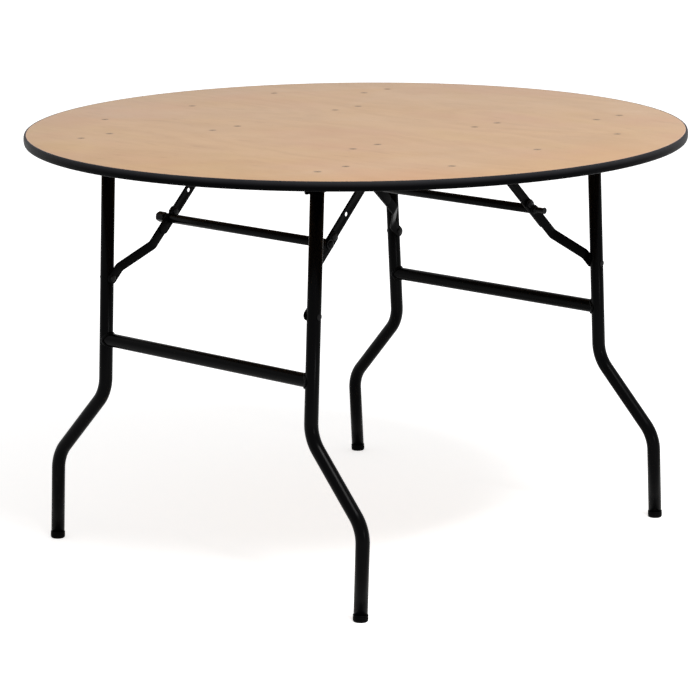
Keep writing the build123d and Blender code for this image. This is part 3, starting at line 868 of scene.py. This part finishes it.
leg_line = leg_shape.line(
    on_leg(leg_shape["Foot half width"], leg_shape["Foot end"]),
    on_leg(leg_shape["Foot half width"], leg_shape["Lower corner"]),
    on_leg(leg_shape["Leg half width"], leg_shape["Upper corner"]),
    on_leg(leg_shape["Leg half width"], leg_shape["Top rise"] + leg_length),
)
leg_curve = leg_shape.node("GeometryNodeFilletCurve", {"mode": "POLY"}, {
    "Curve": leg_line, "Count": 16, "Radius": leg_shape["Bend radius"],
})
leg_ring = leg_shape.node("GeometryNodeCurvePrimitiveCircle", sockets={
    "Resolution": 48, "Radius": leg_shape["Tube diameter"] / 2,
})
leg_shape.ends_in(leg_shape.swept(leg_curve, leg_ring))

for end, end_way in ends:
    for side, side_way in sides:
        leg = leg_shape.make(f"bent_leg_{end}_{side}", gloss_finish, Side=side_way, End=end_way)
        wall = leg.modifiers.new("wall", "SOLIDIFY")
        wall.thickness = tube_wall
        wall.offset = -1
        settle(leg, "black_gloss_paint", f"leg_{end}_{side}")


# Cross bars
# A straight tube between the two legs of each frame, its ends cut to fit round them and
# welded all round, then powder coated with the legs.
cross_bar_height = 0.3985
bar_rise = cross_bar_height / leg_length
bar_reach = hinge_reach + foot_spread * (1 - bar_rise)
bar_height = hinge_height * bar_rise


def on_frame(end_way, side_way=1):
    """Where a shape about its own Z goes on a leg frame: along X, from the bar's middle."""
    along_x = Vector((side_way, 0, 0))
    down_leg = Vector((0, end_way * sin(lean), -cos(lean)))
    across_leg = along_x.cross(down_leg)
    turn = Matrix((down_leg, across_leg, along_x)).transposed().to_4x4()
    return Matrix.Translation((0, end_way * bar_reach, bar_height)) @ turn


cross_bar = Turned(
    "cross_bar",
    Leg_half_width=leg_half_width,
    Leg_radius=tube_radius,
    Bar_radius=tube_radius,
)
bar_radius = cross_bar["Bar radius"]
aside = bar_radius * 0.999 * cross_bar.turn.sin()
bite = (cross_bar["Leg radius"] ** 2.0 - aside ** 2.0).sqrt()
bar_end = cross_bar["Leg half width"] - bite + 0.0004
bar_core = cross_bar["Leg half width"] - cross_bar["Leg radius"] + 0.0008
cross_bar.ends_in(cross_bar.lathe(
    (0.0, -bar_core), (bar_radius, -bar_end), (bar_radius, bar_end), (0.0, bar_core), segments=64
))
weld = Shape(
    "weld_bead",
    Leg_half_width=leg_half_width,
    Leg_radius=tube_radius,
    Bar_radius=tube_radius,
    Bead_radius=0.0024,
    Ripple=0.16,
    Ripples=26.0,
)
weld_steps = 208
weld_turn = weld.node("GeometryNodeInputIndex") * (2 * pi / weld_steps)
bead_out = weld["Bar radius"] + weld["Bead radius"] * 0.25
weld_aside = bead_out * weld_turn.sin()
weld_bite = ((weld["Leg radius"] + weld["Bead radius"] * 0.25) ** 2.0 - (weld_aside * 0.97) ** 2.0)
weld_place = weld.vector(
    bead_out * weld_turn.cos(), weld_aside, weld["Leg half width"] - weld_bite.at_least(0.0).sqrt()
)
weld_ring = weld.node("GeometryNodeCurvePrimitiveCircle", sockets={
    "Resolution": weld_steps, "Radius": 1.0,
})
weld_line = weld.node("GeometryNodeSetPosition", sockets={
    "Geometry": weld_ring, "Position": weld_place,
})
weld_section = weld.node("GeometryNodeCurvePrimitiveCircle", sockets={
    "Resolution": 10, "Radius": weld["Bead radius"],
})
ripple = (abs((weld_turn * (weld["Ripples"] / 2)).sin()) - 0.5) * weld["Ripple"] + 1.0
weld.ends_in(weld.swept(weld_line, weld_section, scale=ripple))

for end, end_way in ends:
    bar = cross_bar.make(f"coped_bar_{end}", gloss_finish, turn=on_frame(end_way))
    settle(bar, "black_gloss_paint", f"cross_bar_{end}")
    for side, side_way in sides:
        bead = weld.make(f"weld_{end}_{side}", gloss_finish, turn=on_frame(end_way, side_way))
        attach(bead, f"leg_frame_{end}")


# Foot glides
# Moulded black plastic caps, plugged up the ends of the legs, with a rounded sole, a
# grip ring below the tube, and a foot worn grey where it is dragged.
glide_plastic = Finish("glide_plastic")
moulded = glide_plastic.noise(1400.0, 2.0)
sole = 1.0 - glide_plastic.z.fade(0.0006, 0.0045)
dirt = glide_plastic.noise(240.0, 4.0, 0.7)
glide_finish = glide_plastic.shade(
    Base_Color=glide_plastic.mix(sole * dirt * 0.5, (0.0012, 0.0012, 0.0013), (0.05, 0.047, 0.044)),
    Roughness=sole * 0.2 + dirt * 0.12 + 0.45,
    Specular_IOR_Level=0.02,
    Normal=glide_plastic.bump(moulded + dirt * sole, 0.00003),
)
glide = Turned(
    "foot_glide",
    Diameter=0.027,
    Height=0.0125,
    Plug_diameter=0.0224,
    Plug_length=0.022,
)
rim = glide["Diameter"] / 2
shoulder = glide["Height"]
plug = glide["Plug diameter"] / 2
plug_top = shoulder + glide["Plug length"]
standing = glide.at_places(glide.lathe(
    (0.0, -0.0012),
    (rim - 0.0036, -0.0012),
    (rim - 0.0018, -0.0002),
    (rim - 0.0007, 0.0010),
    (rim - 0.0001, 0.0026),
    (rim, 0.0042),
    (rim, 0.0084),
    (rim - 0.0005, 0.0089),
    (rim - 0.0005, 0.0097),
    (rim, 0.0102),
    (rim, shoulder - 0.0006),
    (rim - 0.0006, shoulder),
    (plug, shoulder),
    (plug, plug_top - 0.002),
    (plug - 0.001, plug_top),
    (0.0, plug_top),
))
standing = glide.node("GeometryNodeRealizeInstances", sockets=(standing,))
glide_x, glide_y, glide_z = glide.parts(glide.node("GeometryNodeInputPosition"))
level = glide.vector(glide_x, glide_y, glide_z.at_least(0.0))
glide.ends_in(glide.node("GeometryNodeSetPosition", sockets={"Geometry": standing, "Position": level}))
for end, end_way in ends:
    for side, side_way in sides:
        place = Vector((side_way * foot_half_width, end_way * (hinge_reach + foot_spread), 0))
        up_leg = Vector((0, -end_way * sin(lean), cos(lean)))
        foot = glide.make(f"glide_{end}_{side}", glide_finish, [place], [up_leg])
        settle(foot, "glide_plastic", f"foot_glide_{end}_{side}")


# Braces
# Two flat steel links at each leg, punched and broken at the corners. The upper one
# turns on the bracket, and the lower one is joggled out to the leg and notched.
for end, _ in ends:
    for side, _ in sides:
        for kind in ("upper", "lower"):
            node = f"{kind}_link_{end}_{side}"
            piece = merged_copy(node, f"{kind}_bar_{end}_{side}", plate_finish, width=0.0004)
            settle(piece, "black_steel_plate", node)


# Rivets of the braces
# Solid steel rivets with round heads: one through the bracket's ear and the upper link,
# one at the knee through both links, and one through the leg at the foot of the brace.
rivet = Turned(
    "rivet",
    Shank_diameter=0.008,
    Grip=0.0063,
    Near_head_diameter=0.013,
    Near_head_height=0.0025,
    Far_head_diameter=0.013,
    Far_head_height=0.0025,
)


def round_head(diameter, height, base, way):
    """An outline's points over a low round head, from its rim to its middle."""
    straight = 0.15
    steps = 7
    points = [(diameter / 2, base), (diameter / 2, base + height * (straight * way))]
    for step in range(1, steps):
        angle = step / steps * pi / 2
        risen = straight + (1 - straight) * sin(angle)
        points.append((diameter / 2 * cos(angle) ** 0.7, base + height * (risen * way)))
    points.append((0.0, base + height * way))
    return points


near = round_head(rivet["Near head diameter"], rivet["Near head height"], 0.0, -1)
far = round_head(rivet["Far head diameter"], rivet["Far head height"], rivet["Grip"], 1)
rivet_shank = rivet["Shank diameter"] / 2
rivet.ends_in(rivet.at_places(rivet.lathe(
    *reversed(near), (rivet_shank, 0.0), (rivet_shank, rivet["Grip"]), *far, segments=36
)))


def at_both_sides(points_by_end, x):
    """Places at that X on both sides, through each end's point, and the way outward."""
    places = []
    aims = []
    for end_way, (reach, height) in points_by_end:
        for _, side_way in sides:
            places.append(Vector((side_way * x, end_way * reach, height)))
            aims.append(Vector((side_way, 0, 0)))
    return places, aims


brace_half_width = 0.1945
link_inside = 0.1947
foot_link_inside = 0.2427
leg_inside = leg_half_width - tube_radius + 0.0001
brace_tops = {"front": (0.166, 0.735), "back": (0.130, 0.735)}
knees = {"front": (0.27773, 0.62551), "back": (0.26389, 0.60870)}
brace_feet = {"front": (0.39356, 0.512), "back": (0.39503, 0.485)}
top_points = [(end_way, brace_tops[end]) for end, end_way in ends]
top_rivets = rivet.make(
    "bracket_rivets", oxide_finish, *at_both_sides(top_points, brace_half_width - bracket_plate)
)
settle(top_rivets, "dark_fasteners", "brace_top_rivets")
for end, end_way in ends:
    places, aims = at_both_sides([(end_way, knees[end])], link_inside)
    knee_rivets = rivet.make(f"knee_pins_{end}", oxide_finish, places, aims)
    settle(knee_rivets, "dark_fasteners", f"knee_rivets_{end}")
    places, aims = at_both_sides([(end_way, brace_feet[end])], foot_link_inside)
    link_rivets = rivet.make(
        f"link_foot_rivets_{end}", oxide_finish, places, aims,
        Grip=0.0029, Far_head_diameter=0.0078, Far_head_height=0.0001,
    )
    settle(link_rivets, "dark_fasteners", f"brace_foot_rivets_{end}")
    places, aims = at_both_sides([(end_way, brace_feet[end])], leg_inside)
    leg_pins = rivet.make(
        f"leg_pins_{end}", oxide_finish, places, aims,
        Grip=0.0249, Near_head_diameter=0.0078, Near_head_height=0.0001,
        Far_head_diameter=0.012, Far_head_height=0.0012,
    )
    settle(leg_pins, "dark_fasteners", f"brace_foot_pins_{end}")


# Release bars
# A tube across both braces of one end, with a stud welded into each end that passes
# through the links: a long one for the nuts, and a short one riveted over. Pulled up, it
# breaks both knees at once. Gloss black powder coat.
release = Turned(
    "release_bar",
    Bar_diameter=0.017,
    Stud_diameter=0.008,
    Half_length=link_inside,
    Long_end=0.2218,
    Short_end=0.2028,
    Head_diameter=0.013,
    Head_height=0.0025,
)
half_length = release["Half length"]
long_end = release["Long end"]
short_end = -release["Short end"]
stud = release["Stud diameter"] / 2
grip = release["Bar diameter"] / 2
riveted_head = round_head(release["Head diameter"], release["Head height"], short_end, -1)
release.ends_in(release.at_places(release.lathe(
    *reversed(riveted_head),
    (stud, short_end),
    (stud, -half_length),
    (grip - 0.0006, -half_length),
    (grip - 0.0002, 0.0002 - half_length),
    (grip, 0.0007 - half_length),
    (grip, half_length - 0.0007),
    (grip - 0.0002, half_length - 0.0002),
    (grip - 0.0006, half_length),
    (stud, half_length),
    (stud, long_end - 0.0005),
    (stud - 0.0005, long_end),
    (0.0, long_end),
)))


# Washers and nuts of the release bars
# A plain washer outside each brace. The long stud of each bar also carries a lock nut and
# a closed end nut tightened against it, which stands out from the brace as a black knob:
# a wide hexagon one on the front bar, and a slim barrel one with a lip on the back bar.
washer = Turned("washer", Diameter=0.018, Thickness=0.0016, Bore=0.0081)
washer_rim = washer["Diameter"] / 2
washer_bore = washer["Bore"] / 2
thick = washer["Thickness"]
washer.ends_in(washer.at_places(washer.lathe(
    (washer_bore, 0.0),
    (washer_rim - 0.0003, 0.0),
    (washer_rim, 0.0003),
    (washer_rim, thick - 0.0005),
    (washer_rim - 0.0005, thick),
    (washer_bore + 0.0002, thick),
    (washer_bore, thick - 0.0002),
    (washer_bore, 0.0),
)))
closed_nut = Turned("closed_nut", Width=0.017, Height=0.0182)
closed_width = closed_nut["Width"]
closed_face = closed_width * 0.475
closed_top = closed_nut["Height"]
closed_nut.ends_in(closed_nut.at_places(closed_nut.lathe(
    (0.0, 0.0),
    (closed_face, 0.0),
    (closed_nut.hexagon(closed_width), closed_nut.chamfer(closed_width, closed_face, 0.0, -1)),
    (closed_nut.hexagon(closed_width), closed_nut.chamfer(closed_width, closed_face, closed_top)),
    (closed_face, closed_top),
    (closed_face * 0.92, closed_top - 0.0002),
    (0.0, closed_top - 0.0002),
), seed=5))
barrel_nut = Turned(
    "barrel_nut",
    Diameter=0.0105,
    Height=0.0182,
    Lip_diameter=0.0125,
    Lip_height=0.0020,
)
barrel = barrel_nut["Diameter"] / 2
lip = barrel_nut["Lip diameter"] / 2
barrel_top = barrel_nut["Height"]
lip_base = barrel_top - barrel_nut["Lip height"]
barrel_nut.ends_in(barrel_nut.at_places(barrel_nut.lathe(
    (0.0, 0.0),
    (barrel - 0.0003, 0.0),
    (barrel, 0.0003),
    (barrel, lip_base - 0.0004),
    (barrel + 0.0003, lip_base),
    (lip - 0.0002, lip_base),
    (lip, lip_base + 0.0002),
    (lip, barrel_top - 0.0005),
    (lip - 0.0005, barrel_top),
    (0.0, barrel_top),
)))
washer_inside = 0.2012
washer_outside = 0.2028
lock_height = 0.006
stud_setout = 0.016
long_stud_way = {"front": -1, "back": 1}
for end, end_way in ends:
    top, knee, foot = Vector(brace_tops[end]), Vector(knees[end]), Vector(brace_feet[end])
    axis = knee + (foot - top).normalized() * stud_setout
    middle = Vector((0, end_way * axis.x, axis.y))
    outward = Vector((long_stud_way[end], 0, 0))
    bar = release.make(f"pull_bar_{end}", gloss_finish, [middle], [outward])
    settle(bar, "black_gloss_paint", f"release_bar_{end}")
    places, aims = at_both_sides([(end_way, axis)], washer_inside)
    washers = washer.make(f"stud_washers_{end}", oxide_finish, places, aims)
    settle(washers, "dark_fasteners", f"release_bar_washers_{end}")
    place = middle + outward * washer_outside
    nut = lock_nut.make(f"stud_lock_nut_{end}", oxide_finish, [place], [outward], Height=lock_height)
    settle(nut, "dark_fasteners", f"release_bar_nuts_{end}")
    place = place + outward * lock_height
    end_nut = closed_nut if end == "front" else barrel_nut
    nut = end_nut.make(f"end_nut_{end}", oxide_finish, [place], [outward])
    settle(nut, "dark_fasteners", f"release_bar_nuts_{end}")


# Studio
# A pale seamless floor under an even sky, with a long soft box high on the right and a
# small one low on the right. Floor and sky look white, but give off less light than that.
floor_reach = 40
floor = Finish("studio_floor")
corners = [(-1, -1), (1, -1), (1, 1), (-1, 1)]
floor_mesh = bpy.data.meshes.new("studio_floor")
floor_mesh.from_pydata([(x * floor_reach, y * floor_reach, 0) for x, y in corners], [], [(0, 1, 2, 3)])
floor_piece = bpy.data.objects.new("studio_floor", floor_mesh)
scene.collection.objects.link(floor_piece)


def seen_plainly(graph):
    """1 for the rays of the camera, of gloss and of glass, and 0 for those that light things."""
    rays = graph.node("ShaderNodeLightPath").socket.node.outputs
    seen = Value(graph, rays["Is Camera Ray"]).at_least(Value(graph, rays["Is Glossy Ray"]))
    return seen.at_least(Value(graph, rays["Is Transmission Ray"]))


from_table = (floor.x * floor.x + floor.y * floor.y).sqrt()
glow = (from_table.fade(0.7, 3.0) * 0.16 + 0.62) * seen_plainly(floor)
floor.shade(Base_Color=(0.78, 0.78, 0.78, 1), Roughness=0.9, Specular_IOR_Level=0.0)
matt_floor = Value(floor, floor.shader.outputs[0])
lit_floor = floor.node("ShaderNodeEmission", sockets={"Color": (1, 1, 1, 1), "Strength": glow})
whole_floor = floor.node("ShaderNodeAddShader", sockets=(matt_floor, lit_floor))
floor.tree.links.new(whole_floor.socket, floor.tree.nodes["Material Output"].inputs["Surface"])
floor_mesh.materials.append(floor.material)

world = bpy.data.worlds.new("studio")
world.use_nodes = True
scene.world = world
sky = Graph(world.node_tree)
sky_light = 0.5
background = world.node_tree.nodes["Background"]
background.inputs["Color"].default_value = (1, 1, 1, 1)
sky_strength = seen_plainly(sky) * (1 - sky_light) + sky_light
world.node_tree.links.new(sky_strength.socket, background.inputs["Strength"])


def soft_box(name, place, target, width, length, power):
    """A lamp at that place that faces the target, its length along Y or as near as can be."""
    lamp_data = bpy.data.lights.new(name, "AREA")
    lamp_data.shape = "RECTANGLE"
    lamp_data.size = width
    lamp_data.size_y = length
    lamp_data.energy = power
    lamp = bpy.data.objects.new(name, lamp_data)
    backward = (Vector(place) - Vector(target)).normalized()
    sideways = Vector((0, 1, 0)).cross(backward).normalized()
    facing = Matrix((sideways, backward.cross(sideways), backward)).transposed().to_4x4()
    lamp.matrix_world = Matrix.Translation(place) @ facing
    scene.collection.objects.link(lamp)


soft_box("key_strip", (3.1, -0.8, 5.4), (0, 0, 0.5), 1.1, 2.6, 275)
soft_box("side_strip", (5.6, -1.0, 1.2), (0, 0, 0.6), 0.5, 0.9, 30)
scene.view_settings.view_transform = "Standard"
